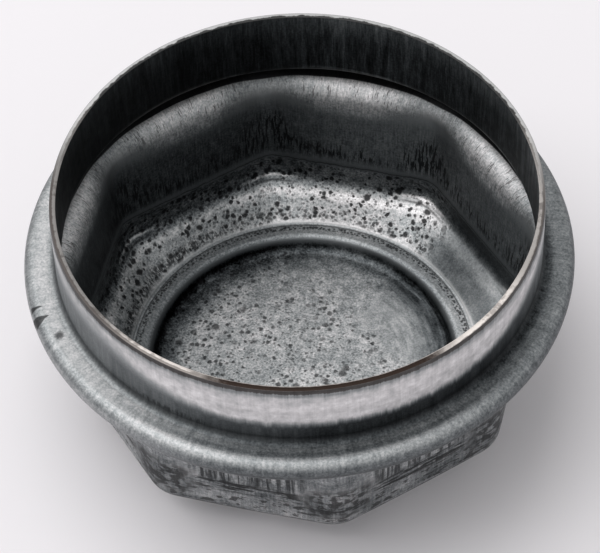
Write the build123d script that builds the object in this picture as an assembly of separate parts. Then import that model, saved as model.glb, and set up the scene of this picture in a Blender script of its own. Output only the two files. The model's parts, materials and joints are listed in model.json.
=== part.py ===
from build123d import *
import os
from math import atan2, cos, degrees, pi, radians, sin, tan

# Hub grease cap drawn from one sheet, in millimetres.
# It stands on its end boss with the open end up; the flats face X, Y and the diagonals.
# Each bend is given on its tight side, and the far side of the sheet follows it.

# Sheet, the same on every wall
sheet = 0.9

# Spigot that presses into the hub, measured outside
spigot_radius = 32.5
spigot_length = 10.6
lead_height = 0.8
lead_depth = 0.2

# Flange bead, folded from the same sheet and hollow; its seat lies around the spigot
flange_thickness = 3.3
edge_flat = 0.1
seat_bend = 1.0
seat_width = 1.7

# Eight-sided body that hangs from the flange, set in from its edge by a ledge at the corners
side_count = 8
ledge_width = 0.3
corner_bend = 7.6
wall_draft = 3.8
body_depth = 22.1
shoulder_bend = 2.2

# Floor of the body: a bend, a dish from eight sides to round, a flat ring and a boss, measured inside
floor_bend = 2.5
dish_rise = 4.3
dish_width = 4.95
land_width = 2.4
boss_drop = 1.8
boss_draft = 30.0
boss_root_bend = 0.3
boss_end_bend = 1.6

# About how far the sheet turns at one line, since a bend is drawn as short flats that touch its arc
line_turn = 30.0
# Band in which the edges and faces at a height are looked for
level_band = 0.01


def bend_reach(bend, turn):
    """Distance from a corner to where its bend ends, for faces that turn by this angle."""
    return bend * tan(radians(turn) / 2)


def across(draft):
    """Widening from one face of a sloping wall to the other, between matching bend lines."""
    slope = radians(draft)
    return sheet * (1 / cos(slope) - tan(slope))


def bend_lines(arc):
    """Corners of the flats that touch an arc from its outer side."""
    turn = degrees(arc.length / arc.radius)
    lines = max(1, round(turn / line_turn))
    spokes = [arc @ ((line + 0.5) / lines) - arc.arc_center for line in range(lines)]
    return [arc.arc_center + spoke / cos(radians(turn / lines / 2)) for spoke in spokes]


def turned(points, bends):
    """Solid turned about Z from a section; each bend rounds the corner at a given point."""
    section = Plane.XZ * make_face(Polyline(*points, close=True))
    for point, bend in bends:
        corner = section.vertices().sort_by_distance(Vector(point[0], 0, point[1]))[0]
        section = fillet(corner, bend)
    edges = section.wire().order_edges()
    outline = []
    for before, edge in zip([edges[-1], *edges], edges):
        if edge.geom_type == GeomType.CIRCLE:
            outline += bend_lines(edge)
        elif before.geom_type == GeomType.LINE:
            outline.append(edge @ 0)
    return revolve(make_face(Polyline(*outline, close=True)), Axis.Z)


def at_height(shapes, height):
    """Those of the edges or faces that lie level at this height."""
    return shapes.filter_by_position(Axis.Z, height - level_band, height + level_band)


def wall_edges(body, height):
    """Edges around the eight-sided wall at this height, without the circles of the flange."""
    return [edge for edge in at_height(body.edges(), height) if edge.length < spigot_radius]


def round_face(radius, height, flat_angle):
    """Level round face, its edge cut into an arc for each flat and each corner of the wall above."""
    pitch = 360 / side_count
    arcs = []
    for side in range(side_count):
        flat_end = pitch * side + flat_angle / 2
        arcs.append(CenterArc((0, 0, height), radius, flat_end - flat_angle, flat_angle))
        arcs.append(CenterArc((0, 0, height), radius, flat_end, pitch - flat_angle))
    return make_face(arcs).face()


def tub(apothem, corner, foot, top, land, height, bend):
    """Eight-sided block with a flat towards X, on a dish that narrows down to a round land.

    The dish bends into the wall's foot along two lines, with one flat between them.
    """
    block = turned([(0, foot), (flange_radius, foot), (flange_radius, top), (0, top)], [])
    lean = radians(wall_draft)
    for side in range(side_count):
        turn = radians(360 / side_count * side)
        middle = (apothem * cos(turn), apothem * sin(turn), foot)
        facing = (cos(turn) * cos(lean), sin(turn) * cos(lean), -sin(lean))
        block = split(block, bisect_by=Plane(origin=middle, z_dir=facing), keep=Keep.BOTTOM)
    corners = block.edges().filter_by(GeomType.LINE).filter_by(Plane.XY, reverse=True)
    block = fillet(corners, corner)
    flat_angle = 2 * degrees(atan2((apothem - corner) * tan(pi / side_count), apothem))
    foot_face = block.faces().sort_by(Axis.Z)[0]
    block = block + loft([round_face(land, height, flat_angle), foot_face], ruled=True)
    return chamfer(wall_edges(block, foot), bend_reach(bend, foot_turn) - bend_reach(bend, foot_turn / 2))


def bend_shoulder(body, height, bend):
    """Bend the wall into the flange at this height, along three lines with two flats between them."""
    turn = 90 - wall_draft
    reach = bend_reach(bend, turn) - bend_reach(bend, turn / 3)
    drop = reach * sin(radians(turn / 3)) / sin(radians(turn * 2 / 3))
    flange_face = at_height(body.faces(), height)[0]
    body = chamfer(wall_edges(body, height), reach, drop, reference=flange_face)
    return chamfer(wall_edges(body, height - drop * cos(radians(wall_draft))), reach - drop)


# Heights above the ground
land_under = boss_drop
land_height = land_under + sheet
flange_under = land_under + body_depth
shoulder_height = flange_under + sheet
flange_seat = flange_under + flange_thickness
groove_top = flange_seat - sheet
rim_height = flange_seat + spigot_length

# From the spigot out to the seat and the folded edge of the flange
seat_end = spigot_radius + seat_bend + seat_width
flange_fold = (flange_thickness - edge_flat) / 2 - sheet
flange_edge = flange_fold + sheet
groove_radius = seat_end + flange_fold
flange_radius = seat_end + flange_edge

# From the flange in to the corners and flats of the body, where it leaves the flange
outer_corner = corner_bend + sheet
corner_reach = seat_end - ledge_width - bend_reach(shoulder_bend, 90 - wall_draft)
body_apothem = (corner_reach - outer_corner) * cos(pi / side_count) + outer_corner

# Foot of the body's wall, where the outer and the inner corner of the bend lie
dish_slope = degrees(atan2(dish_rise, dish_width))
foot_turn = 90 - wall_draft - dish_slope
foot_dip = radians(wall_draft + foot_turn / 2)
foot_step = sheet / cos(radians(foot_turn / 2))
foot_height = land_height + dish_rise
foot_under = foot_height - foot_step * sin(foot_dip)
outer_apothem = body_apothem - (flange_under - foot_under) * tan(radians(wall_draft))
inner_apothem = outer_apothem - foot_step * cos(foot_dip)

# From the foot in to the flat ring and the boss
land_radius = inner_apothem - dish_width
land_middle = land_radius - land_width / 2
boss_radius = land_radius - land_width
boss_taper = boss_drop * tan(radians(boss_draft))

# Outside of the spigot and flange
flange_low = (flange_radius, flange_under)
flange_high = (flange_radius, flange_seat)
seat_root = (spigot_radius, flange_seat)
spigot_end = (spigot_radius, rim_height - lead_height)
rim_outer = (spigot_radius - lead_depth, rim_height)
outer_head = turned(
    [(0, flange_under), flange_low, flange_high, seat_root, spigot_end, rim_outer, (0, rim_height)],
    [(flange_low, flange_edge), (flange_high, flange_edge), (seat_root, seat_bend)],
)

# Outside of the body
land_outer = land_radius + across(90 - dish_slope)
outer_body = tub(
    outer_apothem, outer_corner, foot_under, shoulder_height, land_outer, land_under, floor_bend + sheet
)

# Outside of the boss, carried up into the floor
boss_outer = boss_radius + across(boss_draft)
boss_root = (boss_outer, land_under)
boss_edge = (boss_outer - boss_taper, 0)
outer_boss = turned(
    [(0, land_height), (land_middle, land_height), (land_middle, land_under), boss_root, boss_edge, (0, 0)],
    [(boss_root, boss_root_bend), (boss_edge, boss_end_bend + sheet)],
)

# Room inside the spigot and the flange bead
bore_radius = spigot_radius - sheet
groove_low = (groove_radius, shoulder_height)
groove_high = (groove_radius, groove_top)
bore_end = (bore_radius, groove_top)
inner_head = turned(
    [(0, shoulder_height), groove_low, groove_high, bore_end, (bore_radius, rim_height), (0, rim_height)],
    [(groove_low, flange_fold), (groove_high, flange_fold), (bore_end, seat_bend + sheet)],
)

# Room inside the body
inner_body = tub(
    inner_apothem, corner_bend, foot_height, groove_top, land_radius, land_height, floor_bend
)

# Room inside the boss, carried up into the room of the body
well_high = (land_middle, shoulder_height)
well_low = (land_middle, land_height)
boss_lip = (boss_radius, land_height)
disc_edge = (boss_radius - boss_taper, sheet)
inner_boss = turned(
    [(0, shoulder_height), well_high, well_low, boss_lip, disc_edge, (0, sheet)],
    [(boss_lip, boss_root_bend + sheet), (disc_edge, boss_end_bend)],
)

# The sheet is what lies between the outside and the room inside
outside = bend_shoulder(outer_head + outer_body, flange_under, shoulder_bend) + outer_boss
inside = bend_shoulder(inner_head + inner_body, shoulder_height, shoulder_bend + sheet) + inner_boss
grease_cap = outside - inside

os.makedirs("parts", exist_ok=True)
export_step(grease_cap, "parts/grease_cap.step")
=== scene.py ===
import json
from math import atan2, cos, degrees, pi, radians, sin, sqrt, tan

import bpy
from bpy.props import FloatProperty, FloatVectorProperty, IntProperty, PointerProperty
from mathutils import Matrix, Vector


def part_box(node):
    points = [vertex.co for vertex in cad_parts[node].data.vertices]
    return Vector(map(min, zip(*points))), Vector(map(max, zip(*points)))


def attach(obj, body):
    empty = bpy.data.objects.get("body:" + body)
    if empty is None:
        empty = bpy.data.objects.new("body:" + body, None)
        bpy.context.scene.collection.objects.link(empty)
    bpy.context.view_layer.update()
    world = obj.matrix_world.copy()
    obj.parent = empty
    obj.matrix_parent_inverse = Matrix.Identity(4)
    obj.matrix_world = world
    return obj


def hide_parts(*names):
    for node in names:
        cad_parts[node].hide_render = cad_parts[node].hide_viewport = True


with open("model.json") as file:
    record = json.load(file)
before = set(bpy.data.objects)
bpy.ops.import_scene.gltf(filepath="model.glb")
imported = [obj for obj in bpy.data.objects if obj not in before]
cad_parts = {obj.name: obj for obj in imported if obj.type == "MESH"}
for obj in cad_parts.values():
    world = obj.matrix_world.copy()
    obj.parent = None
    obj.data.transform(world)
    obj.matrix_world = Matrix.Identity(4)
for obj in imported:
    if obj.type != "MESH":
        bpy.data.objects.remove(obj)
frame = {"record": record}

bl_info = {
    "name": "Hub Grease Cap",
    "version": (1, 0, 0),
    "blender": (4, 5, 0),
    "location": "View3D > Sidebar > Grease Cap",
    "description": "Dresses a drawn grease cap as worn, zinc-plated sheet steel on a pale table",
    "category": "Object",
}

MM = 0.001
NODE = "grease_cap"
MOUNTS = {mount["name"]: mount for mount in frame["record"]["mounts"]}
SPIGOT_RADIUS = MOUNTS["spigot"]["dims"]["r_mm"]
SEAT_HEIGHT = MOUNTS["flange_seat"]["pos_m"][2] / MM
BOX_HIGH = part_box(NODE)[1]
SIDES = 8
OUTSIDE, CUT_EDGE, INSIDE = range(3)
SEEN_RAYS = ("Is Camera Ray", "Is Glossy Ray", "Is Transmission Ray")

# Tones are levels as seen, painted light and shade included, and this power makes linear colours of them
TONE_POWER = 2.2
DARKEST_TONE = 0.02
# Tones at which the film, the dull zinc and the bright zinc have their full tints
FILM_TONE, ZINC_TONE, BRIGHT_TONE = 0.2, 0.6, 0.8
# Unit of the relief of the plating, in metres
RELIEF_UNIT = 0.01 * MM
# Radius at which streaks and scratches are laid around the axis, and the least radius that has a bearing
WRAP_RADIUS = 32.0
LEAST_RADIUS = 0.01

# Height of the crease in the inner walls above their foot, in millimetres
CREASE_RISE = 3.0
# Chips in the plating of the flange, in degrees and millimetres: bearing and radius of the tip, bearing and
# radius of the middle of the broad end, and the width of that end
CHIPS = (
    (-150.0, 34.9, -150.3, 36.7, 0.9),
    (-147.2, 34.7, -146.8, 36.8, 1.9),
)
# Bearing and radius of a dent beside them
DENT = (-141.0, 34.6)
# Cell, largest radius and share of cells of the pits, in millimetres
PITS = ((1.5, 0.62, 0.65), (0.8, 0.38, 0.9), (0.45, 0.2, 0.9))

# Stretches around the cap, in degrees: bearing of the middle, how far to each side of it the stretch is full,
# and how far from it the stretch ends
# Several stretches mark painted light and shade: the flange lighter at the left, a highlight on the bead's
# front, reflections on the spigot's front and a sheen at its root, and shade at the seat's right, the
# inside's left, the floor's left and the end's right.
WALLS_BACK = (105, 70, 115)
FLANGE_LIT_LEFT = (-152, 25, 66)
FLANGE_FRONT = (-64, 30, 75)
SEAT_SHADE_RIGHT = (-10, 14, 30)
BEAD_HIGHLIGHT_FRONT = (-76, 22, 48)
SPIGOT_REFLECTION_FRONT = (-62, 22, 70)
ROOT_SHEEN_FRONT = (-96, 8, 26)
ROOT_TEETH = (-106, 5, 14)
LIP_BACK = (100, 60, 110)
INSIDE_SHADE_LEFT = (165, 35, 80)
FLOOR_SHADE_LEFT = (165, 25, 80)
DISH_BACK = (128, 46, 62)
DISH_SATIN = (38, 13, 25)
DISH_SHADE = (58, 10, 26)
DISH_DASHES = (160, 22, 44)
END_SATIN = (36, 14, 30)
END_SHADE_RIGHT = (30, 20, 50)
RIM_FRONT = (-70, 12, 40)
RIM_FRONT_LEFT = (-115, 16, 34)
RIM_FRONT_RIGHT = (-30, 16, 34)
RIM_LEFT = (-155, 24, 44)
RIM_RIGHT = (6, 14, 28)
RIM_BACK = (100, 60, 92)


def length(name, description, default):
    """A size in metres, its default given in millimetres."""
    return FloatProperty(
        name=name, description=description, default=default * MM, unit="LENGTH", precision=5
    )


def angle(name, description, default):
    """An angle, its default given in degrees."""
    return FloatProperty(name=name, description=description, default=radians(default), subtype="ANGLE")


def colour(name, description, default):
    """A linear colour."""
    return FloatVectorProperty(
        name=name, description=description, default=default, subtype="COLOR", size=3, min=0, max=1
    )


class CapSizes(bpy.types.PropertyGroup):
    """Sizes of the drawn sheet"""

    sheet: length("Sheet", "Thickness of the sheet on every wall", 0.9)
    spigot_radius: length("Spigot radius", "Outside of the round wall", SPIGOT_RADIUS)
    rim_height: length("Rim height", "Top of the cut rim above the table", BOX_HIGH.z / MM)
    lead_height: length("Lead height", "Height of the lead-in at the rim", 0.8)
    lead_depth: length("Lead depth", "How far the lead-in draws the rim in", 0.1)
    rim_break: length("Rim break", "Bend at both edges of the cut rim", 0.06)
    flange_radius: length("Flange radius", "Outermost edge of the flange bead", BOX_HIGH.x / MM)
    flange_seat: length("Flange seat", "Height of the face that meets the hub", SEAT_HEIGHT)
    flange_thickness: length("Flange thickness", "Both layers of the bead and the gap between", 3.3)
    edge_flat: length("Edge flat", "Straight stretch at the outermost edge", 0.1)
    seat_bend: length("Seat bend", "Bend between spigot and seat", 1.0)
    ledge_width: length("Ledge width", "Flat left under the flange at the corners", 0.3)
    corner_bend: length("Corner bend", "Inside bend of the eight corners under the flange", 7.6)
    foot_corner: length("Foot corner", "Inside bend of the eight corners at the foot of the walls", 3.6)
    wall_draft: angle("Wall draft", "Slope of the eight walls", 3.8)
    shoulder_bend: length("Shoulder bend", "Outside bend under the flange", 2.2)
    floor_bend: length("Floor bend", "Inside bend at the foot of the walls", 2.5)
    dish_rise: length("Dish rise", "Height of the dish", 4.3)
    dish_width: length("Dish width", "Width of the dish at the middle of a flat", 4.95)
    ring_bend: length("Ring bend", "Small bend where the dish meets the flat ring", 0.35)
    land_width: length("Land width", "Width of the flat ring", 2.4)
    boss_drop: length("Boss drop", "Depth of the round boss", 1.8)
    boss_draft: angle("Boss draft", "Slope of the boss wall", 30.0)
    boss_root_bend: length("Boss root bend", "Tight bend at the top of the boss", 0.3)
    boss_end_bend: length("Boss end bend", "Bend around the flat end", 1.6)
    side_count: IntProperty(name="Sides", description="Flats of the body", default=SIDES, min=3)
    columns: IntProperty(name="Columns", description="Mesh columns around the axis", default=576, min=64)


class CapFinish(bpy.types.PropertyGroup):
    """Tints of the plating, multiplied by the tone of the place, and colours of grime, painted shade and bare
    steel
    """

    # The tints follow the tone, so the film also tints painted shade, and the bright zinc tints painted
    # highlights and reflections.
    film: colour("Film", "Blue-grey film on stained plating", (0.83, 0.93, 1.0))
    zinc: colour("Zinc", "Dull plating", (0.95, 0.985, 1.0))
    bright: colour("Bright zinc", "Plating polished by the press and by handling", (1.0, 0.98, 0.99))
    # This black is also the colour of painted shade: the strip under the bore's lip, the spigot's root and
    # the bead's underside.
    soot_and_shade: colour("Soot", "Black residue in streaks, pits and corners", (0.009, 0.009, 0.010))
    cut_steel: colour("Cut steel", "Bare steel of the cut rim", (0.62, 0.575, 0.545))
    worn_steel: colour("Worn steel", "Cut rim at the left and right", (0.1, 0.1, 0.1))
    dull_steel: colour("Dull steel", "Outer half of the cut rim at the back", (0.42, 0.42, 0.42))
    dark_steel: colour("Dark steel", "Inner half of the cut rim at the back", (0.04, 0.04, 0.04))
    rust: colour("Rust", "Dark brown rust on the cut rim", (0.026, 0.018, 0.015))


class StageLook(bpy.types.PropertyGroup):
    """Table, light and camera"""

    table: colour("Table", "Pale table top", (0.82, 0.797, 0.82))
    table_size: length("Table size", "Width of the table top", 3000)
    sky_light: FloatProperty(name="Sky light", description="Even light from all around", default=0.56)
    backdrop: FloatProperty(name="Backdrop", description="Studio as seen and mirrored", default=0.92)
    lamp_power: FloatProperty(name="Lamp power", description="Soft lamp above", default=12.0, unit="POWER")
    lamp_size: length("Lamp size", "Width of the soft lamp", 1300)
    lamp_distance: length("Lamp distance", "From the cap to the lamp", 1200)
    lamp_turn: angle("Lamp turn", "Bearing of the lamp from the X axis", 180)
    lamp_rise: angle("Lamp rise", "Height of the lamp above level", 68)
    camera_turn: angle("Camera turn", "Bearing of the camera from the front", 15.3)
    camera_rise: angle("Camera rise", "Height of the camera above level", 51.12)
    camera_roll: angle("Camera roll", "Turn of the picture", -2.15)
    camera_distance: length("Camera distance", "From the aim point to the camera", 403.5)
    camera_near: length("Camera near", "Nearest distance that the camera shows", 10)
    aim_height: length("Aim height", "Point on the axis in the middle of the picture", 20.3)
    lens: FloatProperty(name="Lens", description="Focal length", default=179.0, unit="CAMERA")


class Value:
    """A socket of a material; Python's operators on it add Math nodes."""

    def __init__(self, shader, socket):
        self.shader = shader
        self.socket = socket

    def math(self, operation, *others):
        return self.shader.math(operation, self, *others)

    def __add__(self, other):
        return self.math("ADD", other)

    __radd__ = __add__

    def __sub__(self, other):
        return self.math("SUBTRACT", other)

    def __rsub__(self, other):
        return self.shader.math("SUBTRACT", other, self)

    def __mul__(self, other):
        return self.math("MULTIPLY", other)

    __rmul__ = __mul__

    def __truediv__(self, other):
        return self.math("DIVIDE", other)

    def __rtruediv__(self, other):
        return self.shader.math("DIVIDE", other, self)

    def __pow__(self, other):
        return self.math("POWER", other)

    def __rpow__(self, other):
        return self.shader.math("POWER", other, self)


class Shader:
    """A material under construction."""

    def __init__(self, name, tree=None):
        if tree is None:
            self.material = bpy.data.materials.new(name)
            self.material.use_nodes = True
            tree = self.material.node_tree
        self.tree = tree
        self.tree.nodes.clear()

    def node(self, kind, settings, inputs, output=0):
        """Add a node: its settings first, then the values or links of its sockets."""
        node = self.tree.nodes.new(kind)
        for name, value in settings.items():
            if name == "stops":
                set_stops(node.color_ramp, value)
            else:
                setattr(node, name, value)
        for key, value in inputs.items():
            if isinstance(value, Value):
                self.tree.links.new(value.socket, node.inputs[key])
            else:
                node.inputs[key].default_value = value
        return Value(self, node.outputs[output]) if node.outputs else None

    def math(self, operation, *values):
        return self.node("ShaderNodeMath", {"operation": operation}, dict(enumerate(values)))

    def mix(self, share, first, second):
        """Blend two colours: the second one has this share."""
        return self.node("ShaderNodeMix", {"data_type": "RGBA"}, {0: share, 6: first, 7: second}, 2)

    def step(self, value, low, high):
        """Smooth step from 0 at low to 1 at high; low may be the larger."""
        settings = {"interpolation_type": "SMOOTHSTEP"}
        if low > high:
            return 1 - self.node("ShaderNodeMapRange", settings, {0: value, 1: high, 2: low})
        return self.node("ShaderNodeMapRange", settings, {0: value, 1: low, 2: high})

    def band(self, value, low, high, soft):
        """1 between low and high, with edges this soft."""
        rise = self.step(value, low - soft, low + soft)
        return rise * self.step(value, high + soft, high - soft)

    def noise(self, vector, scale, detail, roughness):
        """Cloudy noise between 0 and 1."""
        inputs = {"Vector": vector, "Scale": scale, "Detail": detail, "Roughness": roughness}
        return self.node("ShaderNodeTexNoise", {}, inputs)

    def vector(self, x, y, z):
        return self.node("ShaderNodeCombineXYZ", {}, {0: x, 1: y, 2: z})

    def spots(self, vector, cell, size, share, dimensions="3D"):
        """Soft round spots up to this radius, in this share of the cells of a grid; sizes in millimetres."""
        settings = {"voronoi_dimensions": dimensions}
        inputs = {"Vector": vector, "Scale": 1 / cell}
        distance = self.node("ShaderNodeTexVoronoi", settings, inputs) * cell
        chance = self.node("ShaderNodeTexVoronoi", settings, inputs, 1)
        chance = self.node("ShaderNodeSeparateColor", {}, {0: chance})
        reach = (size * (1 - chance / share)).math("MAXIMUM", -size)
        soft = 0.3 * size
        return self.step(distance - reach, soft, -soft)


def set_stops(ramp, stops):
    """Fill a colour ramp with (position, colour) stops."""
    elements = ramp.elements
    while len(elements) > 1:
        elements.remove(elements[-1])
    elements[0].position, elements[0].color = stops[0]
    for position, stop_colour in stops[1:]:
        elements.new(position).color = stop_colour


def solid(rgb):
    """A colour with full alpha."""
    return (*rgb, 1.0)


def grey(value):
    return (value, value, value, 1.0)


def at_bearing(turn, radius):
    """Point at a bearing in degrees and a radius, seen from above."""
    return Vector((radius * cos(radians(turn)), radius * sin(radians(turn))))


class SheetMarks:
    """Coordinates on the sheet in millimetres and degrees, and the marks that several surfaces show."""

    def __init__(self, shader):
        self.shader = shader
        place = shader.node("ShaderNodeTexCoord", {}, {}, 3)
        self.place = shader.node("ShaderNodeVectorMath", {"operation": "SCALE"}, {0: place, 3: 1 / MM})
        self.x, self.y, self.height = (
            shader.node("ShaderNodeSeparateXYZ", {}, {0: self.place}, axis) for axis in range(3)
        )
        self.radius = (self.x * self.x + self.y * self.y).math("SQRT").math("MAXIMUM", LEAST_RADIUS)
        self.east = self.x / self.radius
        self.north = self.y / self.radius
        turn = self.y.math("ARCTAN2", self.x) * degrees(1)
        half = 180 / SIDES
        self.swing = ((turn + half).math("FLOORED_MODULO", 2 * half) - half).math("ABSOLUTE")
        self.clouds = shader.noise(self.place, 0.13, 4.0, 0.6) - 0.5
        self.mottle = shader.noise(self.place, 0.8, 4.0, 0.65) - 0.5
        self.grain = shader.noise(self.place, 3.2, 3.0, 0.7) - 0.5

    def above(self, height, soft):
        """1 above a height and 0 below it, with an edge this soft."""
        return self.shader.step(self.height, height - soft, height + soft)

    def level(self, low, high, soft):
        """1 between two heights, with edges this soft."""
        return self.shader.band(self.height, low, high, soft)

    def ring(self, low, high, soft):
        """1 between two radii, with edges this soft."""
        return self.shader.band(self.radius, low, high, soft)

    def near(self, stretch):
        """1 in a stretch around the axis, and 0 beyond its ends."""
        bearing, inner, outer = stretch
        along = self.east * cos(radians(bearing)) + self.north * sin(radians(bearing))
        return self.shader.step(along, cos(radians(outer)), cos(radians(inner)))

    def distance(self, turn, radius):
        """Distance from the upright line at a bearing and a radius."""
        spot = at_bearing(turn, radius)
        x, y = self.x - spot.x, self.y - spot.y
        return (x * x + y * y).math("SQRT")

    def chip(self, tip_turn, tip_radius, end_turn, end_radius, width):
        """1 in a chip that widens from its tip to its broad end."""
        tip, end = at_bearing(tip_turn, tip_radius), at_bearing(end_turn, end_radius)
        reach = (end - tip).length
        way = (end - tip) / reach
        x, y = self.x - tip.x, self.y - tip.y
        along = x * way.x + y * way.y
        across = (y * way.x - x * way.y).math("ABSOLUTE")
        inside = along * (width / 2 / reach) - across + 0.5 * self.mottle
        return self.shader.step(inside, -0.08, 0.12) * self.shader.step(along, reach + 0.1, reach - 0.1)

    def streaks(self, scale, run):
        """Streaks along the section, up the walls and out over the rings, this many times as long as wide."""
        drift = (self.height + self.radius) / run
        vector = self.shader.vector(self.east * WRAP_RADIUS, self.north * WRAP_RADIUS, drift)
        return self.shader.noise(vector, scale, 3.0, 0.6) - 0.5

    def scratches(self, scale, run, drop=None):
        """Scratches around the axis, this many times as long as wide, along lines of the same drop."""
        reach = WRAP_RADIUS / run
        drop = self.height + self.radius if drop is None else drop
        vector = self.shader.vector(self.east * reach, self.north * reach, drop)
        return self.shader.noise(vector, scale, 3.0, 0.6) - 0.5

    def tone_at(self, tones):
        """Tone along the height, from (height, tone) pairs from the table up."""
        top = tones[-1][0]
        stops = [(height / top, grey(tone)) for height, tone in tones]
        ramp = self.shader.node("ShaderNodeValToRGB", {"stops": stops}, {0: self.height / top})
        return self.shader.node("ShaderNodeSeparateColor", {}, {0: ramp})


class Plating:
    """Worn plating under construction: its tone, from 0 for black to 1 for white, with painted light and
    shade in it, its grime and painted shade, and its relief.
    """

    def __init__(self, name):
        self.shader = Shader(name)
        self.marks = SheetMarks(self.shader)
        self.tone = 0.5
        self.roughness = 0.5
        self.relief = 0.0
        self.dirt_and_shade = []
        self.rust = None

    def blend(self, share, tone):
        """Take the tone over to another one where share is 1."""
        self.tone = self.tone + share * (tone - self.tone)

    def soil_and_shade(self, share, depth=0.0):
        """Darken towards black by this share, for grime and painted shade alike, sunk by this depth in
        hundredths of a millimetre.
        """
        self.dirt_and_shade.append(share)
        if depth:
            self.relief = self.relief - depth * share

    def material(self, finish):
        shader = self.shader
        tone = self.tone.math("MAXIMUM", DARKEST_TONE).math("MINIMUM", 1.0)
        ramp = [
            (FILM_TONE, solid(finish.film)),
            (ZINC_TONE, solid(finish.zinc)),
            (BRIGHT_TONE, solid(finish.bright)),
        ]
        tint = shader.node("ShaderNodeValToRGB", {"stops": ramp}, {0: tone})
        tone = tone**TONE_POWER
        level = shader.node("ShaderNodeCombineColor", {}, {0: tone, 1: tone, 2: tone})
        settings = {"data_type": "RGBA", "blend_type": "MULTIPLY"}
        base = shader.node("ShaderNodeMix", settings, {0: 1.0, 6: tint, 7: level}, 2)
        dirt_and_shade = self.dirt_and_shade[0]
        for share in self.dirt_and_shade[1:]:
            dirt_and_shade = dirt_and_shade.math("MAXIMUM", share)
        base = shader.mix(dirt_and_shade, base, solid(finish.soot_and_shade))
        if self.rust is not None:
            base = shader.mix(self.rust, base, solid(finish.rust))
        return finish_sheet(shader, base, self.roughness, self.relief)


def finish_sheet(shader, base, roughness, relief):
    """Metal with this colour and roughness, and a relief in hundredths of a millimetre."""
    bump = {"Strength": 1.0, "Distance": RELIEF_UNIT, "Height": relief}
    normal = shader.node("ShaderNodeBump", {}, bump)
    sockets = {"Base Color": base, "Metallic": 1.0, "Roughness": roughness, "Normal": normal}
    surface = shader.node("ShaderNodeBsdfPrincipled", {}, sockets)
    shader.node("ShaderNodeOutputMaterial", {}, {"Surface": surface})
    return shader.material


def outside_zinc(finish, section):
    """Outside of the sheet: walls below, flange bead and spigot above."""
    coat = Plating("outside_zinc")
    paint_outer_walls(coat, section)
    paint_flange(coat, section)
    paint_spigot(coat, section)
    return coat.material(finish)


def paint_outer_walls(coat, section):
    """Mid-grey walls with combed bars under the flange, dark scuffs below them and smudges at the corners."""
    shader, marks = coat.shader, coat.marks
    foot, top = section.mm("foot_under"), section.mm("flange_under")
    fine = marks.streaks(3.0, 10)
    comb = marks.streaks(1.5, 24)
    scuffs = marks.scratches(1.9, 7, marks.height)
    smears = marks.scratches(0.45, 5, marks.height)
    coat.tone = 0.55 + 0.6 * marks.clouds + 0.5 * smears + 0.35 * fine
    coat.tone = coat.tone + 0.5 * marks.mottle + 0.35 * marks.grain
    coat.roughness = 0.55 + 0.3 * marks.mottle
    coat.relief = 2.0 * marks.grain + fine
    worn = 1 - 0.55 * marks.near(WALLS_BACK)
    middle = worn * shader.step(marks.swing, 17, 11)
    bars = shader.band(marks.height + 3.0 * comb, top - 10.5, top - 5.3, 1.0) * middle
    coat.tone = coat.tone - bars * (0.02 + 0.3 * comb)
    coat.soil_and_shade(0.74 * bars * shader.step(comb + 0.3 * smears, -0.04, 0.08))
    scuffed = marks.level(top - 12.9, top - 10.3, 0.5) * shader.step(scuffs + 0.7 * smears, -0.09, 0.02)
    coat.soil_and_shade(0.88 * scuffed * middle)
    low = marks.level(foot + 0.9, top - 13.1, 0.4) * shader.step(0.6 * scuffs + marks.mottle, 0.03, 0.09)
    coat.soil_and_shade(0.8 * low)
    smudge = shader.step(marks.swing + 12 * marks.mottle, 12, 18) * marks.level(top - 15.3, top - 8.5, 1.4)
    smudge = smudge * shader.step(1.3 * marks.mottle + 0.6 * scuffs, -0.15, 0.06)
    coat.soil_and_shade(0.85 * worn * smudge)
    edge = shader.band(marks.height + 0.8 * marks.mottle, foot + 0.1, foot + 0.6, 0.2)
    coat.soil_and_shade(0.75 * edge)


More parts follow.
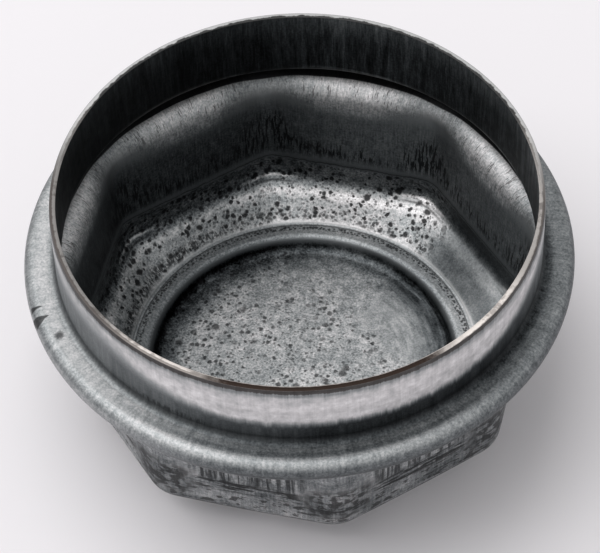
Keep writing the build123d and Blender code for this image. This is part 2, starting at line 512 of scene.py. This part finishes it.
def paint_flange(coat, section):
    """Dull seat with painted shade in its root and a painted light and dark line, and a bead with a painted
    highlight on top, painted shade on its side and under it, chips and a dent; painted lighter towards the
    left, where the light falls.
    """
    shader, marks = coat.shader, coat.marks
    under, seat = section.mm("flange_under"), section.mm("flange_seat")
    out = marks.radius - section.mm("spigot_radius")
    left = marks.near(FLANGE_LIT_LEFT)
    front = marks.near(FLANGE_FRONT)
    flange = marks.above(under + 0.5, 0.4)
    fine = marks.streaks(2.4, 8)
    upper = marks.above(seat - 0.9, 0.2)
    # Painted light: the flange lighter towards the left, where the light falls.
    tone = 0.48 + 0.23 * left + 0.2 * fine + 0.36 * marks.grain + 0.35 * marks.mottle
    coat.blend(flange, tone)
    # Painted shade in the root by the spigot, deeper towards the right.
    coat.tone = coat.tone - 0.18 * upper * shader.step(out, 1.5, 0.3)
    coat.tone = coat.tone - 0.14 * upper * shader.step(out, 1.9, 1.1) * marks.near(SEAT_SHADE_RIGHT)
    # A light line and a dark line painted on the seat at the front, as light and shade.
    coat.tone = coat.tone + 0.06 * upper * shader.band(out, 0.9, 1.2, 0.2) * front
    coat.tone = coat.tone - 0.08 * upper * shader.band(out, 1.7, 2.3, 0.2) * front
    # A painted highlight on the top of the bead at the front.
    crown = marks.above(seat - 0.8, 0.3)
    bead = crown * shader.step(out, 2.4, 2.65)
    coat.tone = coat.tone + 0.13 * bead * marks.near(BEAD_HIGHLIGHT_FRONT)
    # The bead's top painted darker at the left, where the lamp's highlight falls on it.
    coat.tone = coat.tone - 0.14 * left * crown * shader.step(out, 2.1, 3.7)
    # Painted shade on the bead's outer side.
    side = flange * shader.step(out, 2.8, 3.1) * shader.step(marks.height, seat - 0.3, seat - 0.75)
    coat.tone = coat.tone * (1 - 0.14 * side)
    # Painted shadow under the bead, mottled like grime, lighter at the left.
    lower = flange * (1 - marks.above(under + 1.6, 0.4))
    coat.soil_and_shade(0.45 * lower * (1 - 0.6 * left) * shader.step(marks.mottle + 0.5 * fine, -0.12, 0.1))
    for chip in CHIPS:
        coat.soil_and_shade(0.82 * flange * marks.chip(*chip), 3.0)
    dent = marks.distance(*DENT) + 0.8 * marks.mottle
    coat.soil_and_shade(0.8 * flange * shader.step(dent, 1.0, 0.2), 3.0)


def paint_spigot(coat, section):
    """Spigot painted with a bright reflection over a dark one, their streaked edge sagging towards the front,
    a root painted dark as shade, and a rusty lip.
    """
    shader, marks = coat.shader, coat.marks
    seat, rim = section.mm("flange_seat"), section.mm("rim_height")
    front = marks.near(SPIGOT_REFLECTION_FRONT)
    fine = marks.streaks(4.0, 20)
    wide = marks.streaks(0.9, 20)
    rubbed = marks.scratches(0.8, 8)
    spigot = marks.above(seat + 0.3, 0.4)
    # Painted reflections: the upper spigot bright as the mirrored table, the lower part dark, darker at the
    # front with a painted sheen low there; their streaked edge sags towards the front.
    line = seat + 7.6 - 4.0 * front + 1.1 * fine + 1.8 * wide
    bright_reflection_share = shader.step((marks.height - line) / (2.8 - 1.9 * front), -1.0, 1.0)
    bright = 0.84 + 0.12 * fine + 0.12 * wide + 0.4 * marks.mottle + 0.25 * rubbed
    bright = bright - 0.1 * marks.above(rim - 2.4, 0.8)
    dark_reflection = 0.47 - 0.23 * front + 0.12 * marks.near(ROOT_SHEEN_FRONT)
    dark_reflection = dark_reflection + 0.2 * wide + 0.15 * fine + 0.2 * marks.grain
    coat.blend(spigot, dark_reflection)
    coat.blend(spigot * bright_reflection_share, bright)
    coat.roughness = coat.roughness - 0.1 * spigot * bright_reflection_share
    # Painted shade along the root, toothed by streaks at the front.
    teeth = shader.step(marks.streaks(2.6, 8), -0.02, 0.06) * marks.near(ROOT_TEETH)
    coat.soil_and_shade(0.6 * marks.level(seat + 0.1, seat + 1.8, 0.4) * teeth)
    coat.soil_and_shade(0.45 * marks.level(seat + 0.15, seat + 1.1, 0.4))
    edge = marks.height - 0.5 * wide - 0.4 * fine
    coat.tone = coat.tone - 0.2 * shader.step(edge, rim - 1.7, rim - 0.8)
    coat.rust = 0.8 * shader.step(edge, rim - 0.8, rim - 0.55) * (1 - 0.6 * marks.near(LIP_BACK))


def inside_zinc(finish, section):
    """Inside of the sheet: black bore, combed walls, pitted dish and mottled end."""
    coat = Plating("inside_zinc")
    marks = coat.marks
    sheet, rim = section.mm("sheet"), section.mm("rim_height")
    land, foot = section.mm("land_height"), section.mm("foot_height")
    shoulder, groove = section.mm("shoulder_height"), section.mm("groove_top")
    crease = foot + CREASE_RISE
    # The tones along the height paint light and shade as well: the boss wall darker as painted shade, the
    # dish painted bright and the band above it dark as reflections, a dark crease line, a painted highlight
    # on the shoulder, and the groove and bore painted dark as shade and dark reflection.
    coat.tone = marks.tone_at([
        (0, 0.67), (sheet, 0.67), (sheet + 0.08, 0.54), (sheet + 0.7, 0.44),
        (land - 0.4, 0.5), (land - 0.1, 0.58), (land + 0.03, 0.62), (land + 0.2, 0.9), (land + 0.6, 0.76),
        (foot - 2.2, 0.72), (foot - 1.3, 0.96), (foot - 0.6, 0.88), (foot, 0.66), (foot + 0.6, 0.5),
        (crease - 0.4, 0.47), (crease, 0.38), (crease + 0.6, 0.44), (crease + 2, 0.42),
        (shoulder - 8, 0.42), (shoulder - 4.8, 0.44), (shoulder - 2.6, 0.56), (shoulder - 1.2, 0.74),
        (shoulder, 0.72), (shoulder + 0.5, 0.62), (shoulder + 0.9, 0.3),
        (groove, 0.19), (groove + 3, 0.2), (rim - 4, 0.24), (rim - 0.5, 0.4),
    ])
    coat.roughness = 0.5 + 0.3 * marks.mottle
    coat.relief = 2.0 * marks.grain
    pits = pit_layers(coat)
    paint_bore_and_shoulder(coat, section)
    paint_inner_walls(coat, shoulder, crease)
    paint_dish(coat, pits, section, crease)
    paint_end(coat, pits, section)
    return coat.material(finish)


def paint_bore_and_shoulder(coat, section):
    """Streaked bore painted black as dark reflection, darker towards the left as painted shade; under its lip
    a painted highlight in the middle of each flat, with short hairlines, and painted shade along the lip.
    """
    shader, marks = coat.shader, coat.marks
    shoulder, groove = section.mm("shoulder_height"), section.mm("groove_top")
    out = marks.radius - section.mm("bore_radius")
    fine = marks.streaks(5.0, 10)
    wide = marks.streaks(1.2, 12)
    left = marks.near(INSIDE_SHADE_LEFT)
    bore = marks.above(groove + 0.2, 0.3)
    coat.tone = coat.tone + bore * (0.5 * wide + 0.35 * fine + 0.3 * marks.grain)
    # Painted shade: the bore darker towards the left.
    coat.tone = coat.tone * (1 - 0.4 * bore * left)
    ripples = marks.level(groove, groove + 1.8, 0.3) * shader.step(marks.scratches(1.6, 14), 0.02, 0.1)
    coat.tone = coat.tone + 0.12 * ripples
    # The lens is a painted highlight, dimmer at the corners, towards the left and on the steeper part.
    corner = shader.step(marks.swing, 6, 21)
    lens = shader.step(marks.height - 2.6 * corner - 2.0 * wide, shoulder - 5.4, shoulder - 3.0) * (1 - bore)
    steep = shader.step(marks.height, shoulder - 1.0, shoulder - 3.5)
    bright = 0.75 - 0.2 * corner - 0.06 * left - 0.1 * steep
    bright = bright + 0.5 * fine + 0.4 * marks.grain + 0.35 * marks.mottle
    coat.blend(lens, bright)
    coat.roughness = coat.roughness + 0.12 * lens
    hairs = marks.level(shoulder - 2.4, shoulder + 0.3, 0.9) * shader.step(fine + 0.6 * wide, 0.09, 0.13)
    coat.soil_and_shade(0.7 * lens * hairs)
    # Painted shade: the strip under the bore's lip is painted black, standing in for a lip that should hang
    # about 1 mm lower and for the shade beneath it.
    lip = shader.step(out - 0.45 * corner, 1.02, 1.18) * marks.level(shoulder - 1.5, groove + 0.2, 0.3)
    coat.soil_and_shade(0.96 * lip)


def paint_inner_walls(coat, shoulder, crease):
    """Black combed streaks above the crease, longer at the corners, on walls painted darker towards the left
    as shade, with a dark line painted as the shade of the crease.
    """
    shader, marks = coat.shader, coat.marks
    comb = marks.streaks(2.8, 7)
    fine = marks.streaks(5.0, 12)
    patches = marks.streaks(0.3, 3)
    left = marks.near(INSIDE_SHADE_LEFT)
    wall = marks.above(crease + 0.8, 0.8) * shader.step(marks.height, shoulder - 1.5, shoulder - 7.5)
    corner = shader.step(marks.swing, 12, 21)
    # Painted shade: the walls darker towards the left.
    coat.tone = coat.tone + wall * (0.3 * fine + 0.3 * marks.grain + 0.25 * marks.mottle - 0.14 * left)
    reach = crease + 5.6 + 5.0 * corner + 9.0 * patches
    drop = (reach - marks.height) / 4.0
    low = marks.above(crease + 1.4, 0.9) * shader.step(drop, 0.0, 0.9)
    coat.soil_and_shade(0.9 * low * shader.step(comb + 0.03 * drop, 0.03, 0.07))
    # A thin dark line painted as the crease's shade, sunk a little.
    line = shader.band(marks.height - 0.8 * marks.mottle, crease - 0.08, crease + 0.1, 0.1)
    coat.soil_and_shade(0.7 * line, 3.0)


def paint_dish(coat, pits, section, crease):
    """Pitted dish painted bright under a spotted band painted dark, both as reflections, darker towards the
    left as painted shade, with a painted highlight and dark lines at the corners; satin at the right.
    """
    shader, marks = coat.shader, coat.marks
    sheet, land, foot = section.mm("sheet"), section.mm("land_height"), section.mm("foot_height")
    left = marks.near(FLOOR_SHADE_LEFT)
    back = marks.near(DISH_BACK)
    satin = marks.near(DISH_SATIN)
    dish = marks.level(land + 0.25, crease - 0.3, 0.25)
    upper = marks.level(foot - 1.1, foot + 0.3, 0.5)
    lower = marks.level(sheet + 0.4, crease - 0.3, 0.3)
    # Darker towards the left as painted shade, and darker in the satin stretch and high up at the back.
    coat.tone = coat.tone * (1 - 0.28 * lower * left - 0.34 * dish * satin - 0.35 * upper * back * dish)
    coat.tone = coat.tone * (1 - 0.14 * lower * marks.near(DISH_SHADE))
    coat.tone = coat.tone + dish * (0.5 * marks.grain + 0.6 * marks.mottle) * (1 - 0.5 * satin)
    big, small, tiny = pits
    pitted = big.math("MAXIMUM", small).math("MAXIMUM", 0.55 * tiny)
    coat.soil_and_shade(0.93 * dish * pitted * (1 - 0.94 * satin), 5.0)
    # A painted highlight along the foot at the corners, a dark line below it, and a dark chevron line higher
    # up.
    corner = shader.step(marks.swing, 12, 19)
    corner_highlight = marks.level(foot - 0.4, foot - 0.1, 0.15) * corner
    coat.tone = coat.tone + 0.4 * corner_highlight
    coat.soil_and_shade(0.8 * marks.level(foot - 0.85, foot - 0.68, 0.12) * corner, 2.0)
    chevron = shader.band(marks.height + 0.25 * marks.swing, foot + 6.6, foot + 6.8, 0.15)
    coat.soil_and_shade(0.7 * chevron * shader.step(marks.swing, 17, 19), 2.0)
    low = marks.level(land + 0.45, land + 1.3, 0.25)
    dashes = shader.step(marks.streaks(2.4, 4), -0.02, 0.06) * marks.near(DISH_DASHES)
    dots = shader.spots(marks.place, 0.62, 0.36, 1.4)
    coat.soil_and_shade(0.8 * low * dashes.math("MAXIMUM", dots) * (1 - satin))


def pit_layers(coat):
    """Pits of three sizes."""
    shader, marks = coat.shader, coat.marks
    wander = shader.node("ShaderNodeTexNoise", {}, {"Vector": marks.place, "Scale": 1.8, "Detail": 1.0}, 1)
    wander = shader.node("ShaderNodeVectorMath", {"operation": "SCALE"}, {0: wander, 3: 0.45})
    place = shader.node("ShaderNodeVectorMath", {"operation": "ADD"}, {0: marks.place, 1: wander})
    return [shader.spots(place, cell, size, share) for cell, size, share in PITS]


def paint_end(coat, pits, section):
    """Flat ring with dots and a dark line painted as its crease's shade, and the mottled round end, painted
    darker around its edge as shade, most at the left and right.
    """
    shader, marks = coat.shader, coat.marks
    land, ring, boss = section.mm("land_height"), section.mm("land_radius"), section.mm("boss_radius")
    big, small, tiny = pits
    on_ring = marks.level(land - 0.25, land + 0.12, 0.1) * marks.ring(boss - 0.2, ring + 0.1, 0.2)
    coat.tone = coat.tone + on_ring * (0.6 * marks.grain)
    # A dark line painted as the shade of the crease at the ring's outer edge, sunk a little.
    coat.soil_and_shade(0.75 * on_ring * marks.ring(ring - 0.34, ring - 0.2, 0.1), 3.0)
    dots = shader.spots(marks.place, 0.45, 0.26, 1.6, "2D") * marks.ring(ring - 1.15, ring - 0.42, 0.12)
    coat.soil_and_shade(0.8 * on_ring * dots)
    end = 1 - marks.above(land - 0.9, 0.4)
    satin = marks.near(END_SATIN) * marks.ring(boss - 9.6, boss + 2.4, 4)
    # Painted shade around the edge of the round end, deepest at the left and right.
    edge = shader.step(marks.radius, boss - 6.1, boss - 2.1)
    edge = edge * (0.4 + marks.near(FLOOR_SHADE_LEFT) + 0.7 * marks.near(END_SHADE_RIGHT))
    mottled = 0.55 * marks.grain + 0.6 * marks.mottle + 0.4 * marks.clouds
    coat.tone = coat.tone + end * mottled * (1 - 0.5 * satin)
    coat.tone = coat.tone - 0.24 * end * edge
    # More painted shade close to the boss wall.
    coat.tone = coat.tone * (1 - 0.2 * end * shader.step(marks.radius, boss - 3.4, boss - 2.2))
    brushed = marks.scratches(1.5, 10)
    coat.tone = coat.tone + 0.5 * end * satin * brushed
    few = shader.step(marks.clouds - 0.007 * (marks.x + 1.2 * marks.y), -0.22, 0.0)
    coat.soil_and_shade(0.75 * end * big * shader.step(marks.clouds, -0.06, 0.06) * few, 2.0)
    coat.soil_and_shade(0.8 * end * small * few, 2.0)
    coat.soil_and_shade(0.5 * end * tiny * (0.3 + 0.7 * few) * (1 - 0.8 * satin), 2.0)


def cut_edge(finish, section):
    """Cut rim: bare steel, dull at the left and right, rusty at the front with a painted highlight along its
    inner edge, half dark at the back.
    """
    shader = Shader("cut_edge")
    marks = SheetMarks(shader)
    out = marks.radius - section.mm("bore_radius")
    front = shader.step(marks.near(RIM_FRONT) + 0.5 * marks.mottle, 0.05, 0.85)
    left = marks.near(RIM_LEFT)
    right = marks.near(RIM_RIGHT)
    back = marks.near(RIM_BACK)
    shift = 0.06 * marks.near(RIM_FRONT_LEFT) - 0.2 * marks.near(RIM_FRONT_RIGHT)
    line = shader.step(out + 0.5 * marks.mottle + shift, 0.34, 0.54)
    # Painted highlight: a thin line along the inner edge kept free of rust, so the pale bare steel shows.
    lit = shader.step(out + 0.2 * marks.mottle, 0.16, 0.06)
    patches = shader.step(marks.mottle + marks.clouds, 0.02, 0.2)
    rusty = (front * (1 - 0.7 * lit)).math("MAXIMUM", 0.72 * line).math("MAXIMUM", 0.5 * patches)
    worn = (0.8 * left).math("MAXIMUM", 0.6 * right)
    steel = shader.mix(worn, solid(finish.cut_steel), solid(finish.worn_steel))
    base = shader.mix(rusty * (1 - back), steel, solid(finish.rust))
    outer = shader.step(out + 0.9 * marks.mottle, 0.26, 0.46)
    dull = shader.mix(outer, solid(finish.dark_steel), solid(finish.dull_steel))
    base = shader.mix(back, base, dull)
    roughness = 0.45 + 0.3 * marks.mottle
    return finish_sheet(shader, base, roughness, 2.0 * marks.grain)


def octagon(apothem, corner, turn, side_count):
    """Radius of a polygon with rounded corners, in the direction turn; a flat faces the direction 0."""
    half = pi / side_count
    swing = (turn + half) % (2 * half) - half
    if abs(swing) <= atan2((apothem - corner) * tan(half), apothem):
        return apothem / cos(swing)
    centre = (apothem - corner) / cos(half)
    lag = half - abs(swing)
    return centre * cos(lag) + sqrt(corner**2 - (centre * sin(lag)) ** 2)


class SheetSection:
    """Section of the sheet from its axis outwards, worked out from the sizes."""

    def __init__(self, sizes):
        self.sizes = sizes
        sheet, draft = sizes.sheet, sizes.wall_draft
        self.sheet = sheet
        self.spigot_radius = sizes.spigot_radius
        self.flange_seat = sizes.flange_seat
        self.rim_height = sizes.rim_height
        self.land_under = sizes.boss_drop
        self.land_height = self.land_under + sheet
        self.flange_under = sizes.flange_seat - sizes.flange_thickness
        self.shoulder_height = self.flange_under + sheet
        self.groove_top = sizes.flange_seat - sheet
        self.flange_edge = (sizes.flange_thickness - sizes.edge_flat) / 2
        self.flange_fold = self.flange_edge - sheet
        self.groove_radius = sizes.flange_radius - sheet
        self.bore_radius = sizes.spigot_radius - sheet
        seat_end = sizes.flange_radius - self.flange_edge
        self.outer_corner = sizes.corner_bend + sheet
        corner_reach = seat_end - sizes.ledge_width - sizes.shoulder_bend * tan((pi / 2 - draft) / 2)
        lean = cos(pi / sizes.side_count)
        self.body_apothem = (corner_reach - self.outer_corner) * lean + self.outer_corner
        dish_slope = atan2(sizes.dish_rise, sizes.dish_width)
        foot_turn = pi / 2 - draft - dish_slope
        foot_dip = draft + foot_turn / 2
        foot_step = sheet / cos(foot_turn / 2)
        self.foot_height = self.land_height + sizes.dish_rise
        self.foot_under = self.foot_height - foot_step * sin(foot_dip)
        self.outer_apothem = self.body_apothem - (self.flange_under - self.foot_under) * tan(draft)
        self.inner_apothem = self.outer_apothem - foot_step * cos(foot_dip)
        self.shoulder_apothem = self.inner_apothem + (self.shoulder_height - self.foot_height) * tan(draft)
        self.land_radius = self.inner_apothem - sizes.dish_width
        self.land_outer = self.land_radius + sheet * tan(dish_slope / 2)
        self.boss_radius = self.land_radius - sizes.land_width
        self.boss_outer = self.boss_radius + sheet * (1 / cos(sizes.boss_draft) - tan(sizes.boss_draft))
        self.boss_taper = sizes.boss_drop * tan(sizes.boss_draft)

    def mm(self, name):
        """One of these sizes in millimetres."""
        return getattr(self, name) / MM

    def corners(self, turn):
        """Corners of the section at this bearing: radius, height, bend, steps and the next surface."""
        s = self.sizes
        foot_out = octagon(self.outer_apothem, s.foot_corner + s.sheet, turn, s.side_count)
        body_out = octagon(self.body_apothem, self.outer_corner, turn, s.side_count)
        foot_in = octagon(self.inner_apothem, s.foot_corner, turn, s.side_count)
        body_in = octagon(self.shoulder_apothem, s.corner_bend, turn, s.side_count)
        rim = s.rim_height
        return [
            (self.boss_outer - self.boss_taper, 0, s.boss_end_bend + s.sheet, 6, OUTSIDE),
            (self.boss_outer, self.land_under, s.boss_root_bend, 3, OUTSIDE),
            (self.land_outer, self.land_under, s.ring_bend, 3, OUTSIDE),
            (foot_out, self.foot_under, s.floor_bend + s.sheet, 7, OUTSIDE),
            (body_out, self.flange_under, s.shoulder_bend, 8, OUTSIDE),
            (s.flange_radius, self.flange_under, self.flange_edge, 8, OUTSIDE),
            (s.flange_radius, s.flange_seat, self.flange_edge, 8, OUTSIDE),
            (s.spigot_radius, s.flange_seat, s.seat_bend, 7, OUTSIDE),
            (s.spigot_radius, rim - s.lead_height, s.lead_height, 3, OUTSIDE),
            (s.spigot_radius - s.lead_depth, rim, s.rim_break, 3, CUT_EDGE),
            (self.bore_radius, rim, s.rim_break, 3, INSIDE),
            (self.bore_radius, self.groove_top, s.seat_bend + s.sheet, 7, INSIDE),
            (self.groove_radius, self.groove_top, self.flange_fold, 5, INSIDE),
            (self.groove_radius, self.shoulder_height, self.flange_fold, 5, INSIDE),
            (body_in, self.shoulder_height, s.shoulder_bend + s.sheet, 10, INSIDE),
            (foot_in, self.foot_height, s.floor_bend, 7, INSIDE),
            (self.land_radius, self.land_height, s.ring_bend, 3, INSIDE),
            (self.boss_radius, self.land_height, s.boss_root_bend + s.sheet, 5, INSIDE),
            (self.boss_radius - self.boss_taper, s.sheet, s.boss_end_bend, 6, INSIDE),
        ]


def bend_points(before, corner, after, bend, steps):
    """Points of the round bend that takes a corner's place."""
    way_in = (corner - before).normalized()
    way_out = (after - corner).normalized()
    turn = way_in.angle_signed(way_out)
    reach = bend * tan(abs(turn) / 2)
    start = corner - way_in * reach
    side = way_in.orthogonal() * (-1 if turn > 0 else 1)
    middle = start + side * bend
    points = []
    for step in range(steps + 1):
        swing = Matrix.Rotation(-turn * step / steps, 2)
        points.append(middle + swing @ (start - middle))
    return points


def section_points(corners, start, end):
    """Points of a section with its corners bent, and the surface that follows each point."""
    places = [start, *(Vector(corner[:2]) for corner in corners), end]
    points, surfaces = [], []
    for before, place, after, corner in zip(places, places[1:], places[2:], corners):
        bend, steps, surface = corner[2:]
        bent = bend_points(before, place, after, bend, steps)
        points += bent
        surfaces += [surfaces[-1] if surfaces else surface] * (len(bent) - 1) + [surface]
    return points, surfaces


def build_sheet(sizes):
    """Mesh of the whole sheet: a grid of columns around the axis and rows along its section."""
    section = SheetSection(sizes)
    count = sizes.columns
    start, end = Vector((0, 0)), Vector((0, sizes.sheet))
    points = [(0, 0, 0)]
    lengths = []
    for column in range(count):
        turn = 2 * pi * column / count
        outline, surfaces = section_points(section.corners(turn), start, end)
        if column == 0:
            path = [start, *outline, end]
            for first, second in zip(path, path[1:]):
                lengths.append((lengths[-1] if lengths else 0) + (second - first).length)
        points += [(radius * cos(turn), radius * sin(turn), height) for radius, height in outline]
    rows = len(surfaces)
    points.append((0, 0, sizes.sheet))
    heights = [0.0] + [value / lengths[-1] for value in lengths]
    faces, face_surfaces, uvs = [], [], []
    for column in range(count):
        here = 1 + column * rows
        there = 1 + (column + 1) % count * rows
        left, right = column / count, (column + 1) / count
        middle = (left + right) / 2
        faces.append((0, there, here))
        face_surfaces.append(OUTSIDE)
        uvs += [(middle, 0), (right, heights[1]), (left, heights[1])]
        for row in range(rows - 1):
            faces.append((here + row, there + row, there + row + 1, here + row + 1))
            face_surfaces.append(surfaces[row])
            low, high = heights[row + 1], heights[row + 2]
            uvs += [(left, low), (right, low), (right, high), (left, high)]
        faces.append((here + rows - 1, there + rows - 1, len(points) - 1))
        face_surfaces.append(INSIDE)
        uvs += [(left, heights[rows]), (right, heights[rows]), (middle, 1)]
    mesh = bpy.data.meshes.new("drawn_sheet")
    mesh.from_pydata(points, [], faces)
    mesh.polygons.foreach_set("material_index", face_surfaces)
    mesh.polygons.foreach_set("use_smooth", [True] * len(faces))
    layer = mesh.uv_layers.new(name="OFBake")
    layer.data.foreach_set("uv", [number for uv in uvs for number in uv])
    return mesh


class GREASECAP_OT_sheet(bpy.types.Operator):
    """Draw the cap's sheet and give it its worn plating"""

    bl_idname = "grease_cap.sheet"
    bl_label = "Drawn Sheet"

    def execute(self, context):
        sizes = context.scene.cap_sizes
        finish = context.scene.cap_finish
        piece = bpy.data.objects.new("drawn_sheet", build_sheet(sizes))
        context.collection.objects.link(piece)
        section = SheetSection(sizes)
        for make in (outside_zinc, cut_edge, inside_zinc):
            piece.data.materials.append(make(finish, section))
        smooth = piece.modifiers.new("even_shading", "WEIGHTED_NORMAL")
        smooth.keep_sharp = True
        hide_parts(NODE)
        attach(piece, "root")
        return {"FINISHED"}


class GREASECAP_OT_stage(bpy.types.Operator):
    """Set out the table, the light and the camera"""

    bl_idname = "grease_cap.stage"
    bl_label = "Table, Light and Camera"

    def execute(self, context):
        look = context.scene.stage_look
        self.make_table(context, look)
        self.make_light(context, look)
        self.make_camera(context, look)
        context.scene.view_settings.view_transform = "Standard"
        return {"FINISHED"}

    def make_table(self, context, look):
        """Pale table top under the cap."""
        half = look.table_size / 2
        mesh = bpy.data.meshes.new("table")
        corners = [(-half, -half, 0), (half, -half, 0), (half, half, 0), (-half, half, 0)]
        mesh.from_pydata(corners, [], [(0, 1, 2, 3)])
        table = bpy.data.objects.new("table", mesh)
        context.collection.objects.link(table)
        shader = Shader("table_top")
        surface = shader.node("ShaderNodeBsdfDiffuse", {}, {"Color": solid(look.table)})
        shader.node("ShaderNodeOutputMaterial", {}, {"Surface": surface})
        mesh.materials.append(shader.material)

    def make_light(self, context, look):
        """Even studio light from all around, and one large soft lamp at the upper left."""
        world = bpy.data.worlds.new("studio")
        world.use_nodes = True
        shader = Shader("", world.node_tree)
        seen, mirrored, through = (shader.node("ShaderNodeLightPath", {}, {}, name) for name in SEEN_RAYS)
        shown = seen.math("MAXIMUM", mirrored).math("MAXIMUM", through)
        strength = look.sky_light + (look.backdrop - look.sky_light) * shown
        sky = shader.node("ShaderNodeBackground", {}, {"Color": grey(1.0), "Strength": strength})
        shader.node("ShaderNodeOutputWorld", {}, {"Surface": sky})
        context.scene.world = world
        lamp = bpy.data.lights.new("window", "AREA")
        lamp.size = look.lamp_size
        lamp.energy = look.lamp_power
        window = bpy.data.objects.new("window", lamp)
        turn, rise = look.lamp_turn, look.lamp_rise
        place = Vector((cos(turn) * cos(rise), sin(turn) * cos(rise), sin(rise)))
        window.location = place * look.lamp_distance
        window.rotation_euler = (-place).to_track_quat("-Z", "Y").to_euler()
        context.collection.objects.link(window)

    def make_camera(self, context, look):
        """Camera at the viewing angle, with the picture turned a little."""
        turn, rise = look.camera_turn, look.camera_rise
        back = Vector((sin(turn) * cos(rise), -cos(turn) * cos(rise), sin(rise)))
        lens = bpy.data.cameras.new("camera")
        lens.lens = look.lens
        lens.clip_start = look.camera_near
        camera = bpy.data.objects.new("camera", lens)
        roll = Matrix.Rotation(look.camera_roll, 4, "Z")
        camera.matrix_world = (
            Matrix.Translation(Vector((0, 0, look.aim_height)) + back * look.camera_distance)
            @ back.to_track_quat("Z", "Y").to_matrix().to_4x4()
            @ roll
        )
        context.collection.objects.link(camera)
        context.scene.camera = camera


class GREASECAP_PT_panel(bpy.types.Panel):
    """Steps and settings of the grease cap"""

    bl_idname = "GREASECAP_PT_panel"
    bl_label = "Grease Cap"
    bl_space_type = "VIEW_3D"
    bl_region_type = "UI"
    bl_category = "Grease Cap"

    def draw(self, context):
        layout = self.layout
        for operator in OPERATORS:
            layout.operator(operator.bl_idname)
        for title, group in (
            ("Sizes", context.scene.cap_sizes),
            ("Finish", context.scene.cap_finish),
            ("Stage", context.scene.stage_look),
        ):
            box = layout.box()
            box.label(text=title)
            for name in group.__annotations__:
                box.prop(group, name)


GROUPS = {"cap_sizes": CapSizes, "cap_finish": CapFinish, "stage_look": StageLook}
OPERATORS = (GREASECAP_OT_sheet, GREASECAP_OT_stage)
CLASSES = (*GROUPS.values(), *OPERATORS, GREASECAP_PT_panel)


def register():
    for item in CLASSES:
        bpy.utils.register_class(item)
    for name, group in GROUPS.items():
        setattr(bpy.types.Scene, name, PointerProperty(type=group))


def unregister():
    for name in GROUPS:
        delattr(bpy.types.Scene, name)
    for item in reversed(CLASSES):
        bpy.utils.unregister_class(item)


def main():
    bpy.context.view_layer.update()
    register()
    bpy.ops.grease_cap.sheet()
    bpy.ops.grease_cap.stage()


if __name__ == "__main__":
    main()
